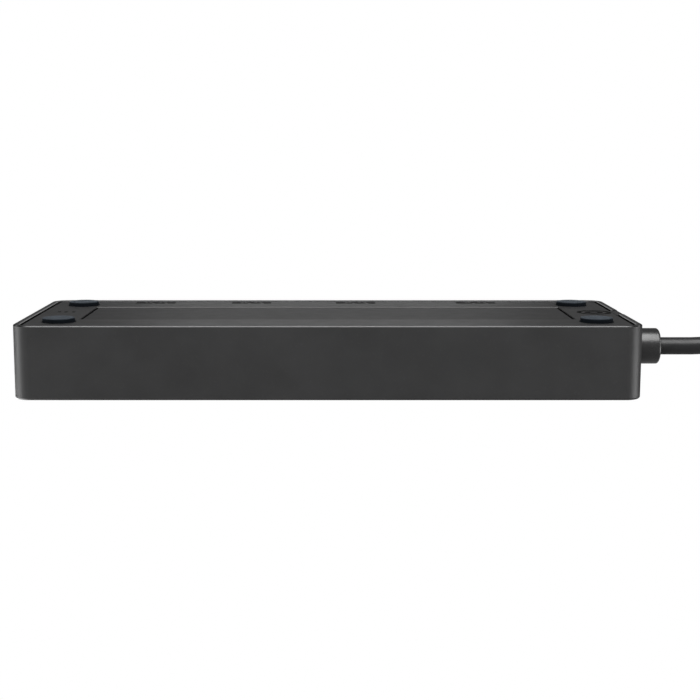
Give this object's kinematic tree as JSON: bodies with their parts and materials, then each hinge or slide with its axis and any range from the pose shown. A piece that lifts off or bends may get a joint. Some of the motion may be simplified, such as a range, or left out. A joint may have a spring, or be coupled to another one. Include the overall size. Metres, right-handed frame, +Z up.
{
  "type": "power strip",
  "caption": "Wide flat mains power strip on rubber feet, with two rows of shuttered outlets, a rocker switch, a reset breaker and a moulded lead wound in a coil with its plug.",
  "frame": {"origin": "centre of the footprint, in the plane of the feet's undersides", "axes": "+X along the housing, away from the lead; +Z up through the outlet face; -Y is the plain long side that the picture shows"},
  "size_m": [0.5653, 0.1474, 0.0415],
  "materials": {
    "case_plastic": "fine matt grain",
    "base_plastic": "fine matt grain",
    "foot_rubber": "soft matt",
    "steel": "plain",
    "inner_plastic": "moulded",
    "brass": "stamped",
    "plated_blades": "nickel plated",
    "shutter_plastic": "moulded",
    "switch_plastic": "fine matt grain",
    "rocker_red": "gloss, slightly translucent",
    "button_plastic": "satin",
    "wire_black": "PVC",
    "wire_white": "PVC",
    "wire_green": "PVC",
    "cord_jacket": "satin PVC",
    "moulding": "satin PVC",
    "tie_strap": "hook and loop strap"
  },
  "bodies": {
    "strip": {"housing": "case_plastic", "base_plate": "base_plastic", "foot_1": "foot_rubber", "foot_2": "foot_rubber", "foot_3": "foot_rubber", "foot_4": "foot_rubber", "case_screws": "steel", "carrier_front": "inner_plastic", "carrier_back": "inner_plastic", "line_bus_front": "brass", "line_bus_back": "brass", "neutral_bus_front": "brass", "neutral_bus_back": "brass", "ground_bus_front": "brass", "ground_bus_back": "brass", "spring_1": "steel", "spring_2": "steel", "spring_3": "steel", "spring_4": "steel", "spring_5": "steel", "spring_6": "steel", "spring_7": "steel", "spring_8": "steel", "switch_body": "switch_plastic", "switch_terminals": "brass", "breaker_body": "switch_plastic", "breaker_nut": "steel", "breaker_terminals": "brass", "reset_spring": "steel", "line_wires": "wire_black", "neutral_wires": "wire_white", "ground_wires": "wire_green", "gland": "moulding", "cord_inside": "cord_jacket", "cord_clamp": "inner_plastic", "clamp_screws": "steel", "cord_lead": "cord_jacket", "cord_coil": "cord_jacket", "cord_tail": "cord_jacket", "cord_tie": "tie_strap", "plug_body": "moulding", "plug_line_blade": "plated_blades", "plug_neutral_blade": "plated_blades", "plug_ground_pin": "plated_blades"},
    "shutter_1": {"shutter_1": "shutter_plastic"},
    "shutter_2": {"shutter_2": "shutter_plastic"},
    "shutter_3": {"shutter_3": "shutter_plastic"},
    "shutter_4": {"shutter_4": "shutter_plastic"},
    "shutter_5": {"shutter_5": "shutter_plastic"},
    "shutter_6": {"shutter_6": "shutter_plastic"},
    "shutter_7": {"shutter_7": "shutter_plastic"},
    "shutter_8": {"shutter_8": "shutter_plastic"},
    "rocker": {"switch_rocker": "rocker_red"},
    "button": {"reset_button": "button_plastic"}
  },
  "joints": [
    {"name": "shutter_1_slide", "type": "slide", "parent": "strip", "child": "shutter_1", "axis": [0, 1, 0], "range_m": [0, 0.003], "stiffness_N_per_m": 60, "springref_m": -0.002, "deforming": ["spring_1"]},
    {"name": "shutter_2_slide", "type": "slide", "parent": "strip", "child": "shutter_2", "axis": [0, 1, 0], "range_m": [0, 0.003], "stiffness_N_per_m": 60, "springref_m": -0.002, "deforming": ["spring_2"]},
    {"name": "shutter_3_slide", "type": "slide", "parent": "strip", "child": "shutter_3", "axis": [0, 1, 0], "range_m": [0, 0.003], "stiffness_N_per_m": 60, "springref_m": -0.002, "deforming": ["spring_3"]},
    {"name": "shutter_4_slide", "type": "slide", "parent": "strip", "child": "shutter_4", "axis": [0, 1, 0], "range_m": [0, 0.003], "stiffness_N_per_m": 60, "springref_m": -0.002, "deforming": ["spring_4"]},
    {"name": "shutter_5_slide", "type": "slide", "parent": "strip", "child": "shutter_5", "axis": [0, 1, 0], "range_m": [0, 0.003], "stiffness_N_per_m": 60, "springref_m": -0.002, "deforming": ["spring_5"]},
    {"name": "shutter_6_slide", "type": "slide", "parent": "strip", "child": "shutter_6", "axis": [0, 1, 0], "range_m": [0, 0.003], "stiffness_N_per_m": 60, "springref_m": -0.002, "deforming": ["spring_6"]},
    {"name": "shutter_7_slide", "type": "slide", "parent": "strip", "child": "shutter_7", "axis": [0, 1, 0], "range_m": [0, 0.003], "stiffness_N_per_m": 60, "springref_m": -0.002, "deforming": ["spring_7"]},
    {"name": "shutter_8_slide", "type": "slide", "parent": "strip", "child": "shutter_8", "axis": [0, 1, 0], "range_m": [0, 0.003], "stiffness_N_per_m": 60, "springref_m": -0.002, "deforming": ["spring_8"]},
    {"name": "rocker_tip", "type": "hinge", "parent": "strip", "child": "rocker", "pos_m": [-0.112, -0.021, 0.0368], "axis": [0, 1, 0], "range_deg": [0, 14]},
    {"name": "reset_slide", "type": "slide", "parent": "strip", "child": "button", "axis": [0, 0, 1], "range_m": [0, 0.003], "deforming": ["reset_spring"]}
  ]
}
